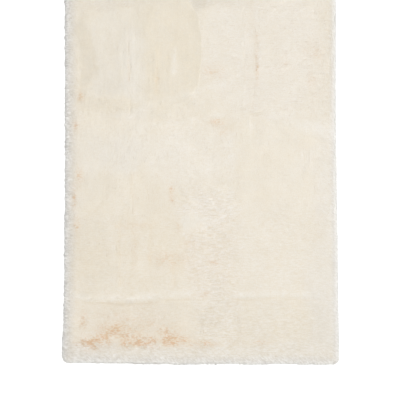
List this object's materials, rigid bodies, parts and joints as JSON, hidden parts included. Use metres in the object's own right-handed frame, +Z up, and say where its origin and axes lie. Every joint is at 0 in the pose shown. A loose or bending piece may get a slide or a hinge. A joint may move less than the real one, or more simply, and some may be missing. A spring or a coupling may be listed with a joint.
{
  "type": "shag rug",
  "caption": "Rectangular shag rug of plush ivory pile cloth lying flat, with rounded corners, full unbound edges and soft storage creases.",
  "frame": {"origin": "on the floor, under the middle of the rug", "axes": "+X across the rug, +Y along its length, away from the end that the picture shows whole, +Z up out of the pile"},
  "size_m": [1.1996, 1.6994, 0.03],
  "materials": {
    "pile": "soft plush pile"
  },
  "bodies": {
    "root": {"rug": "pile"}
  },
  "joints": []
}
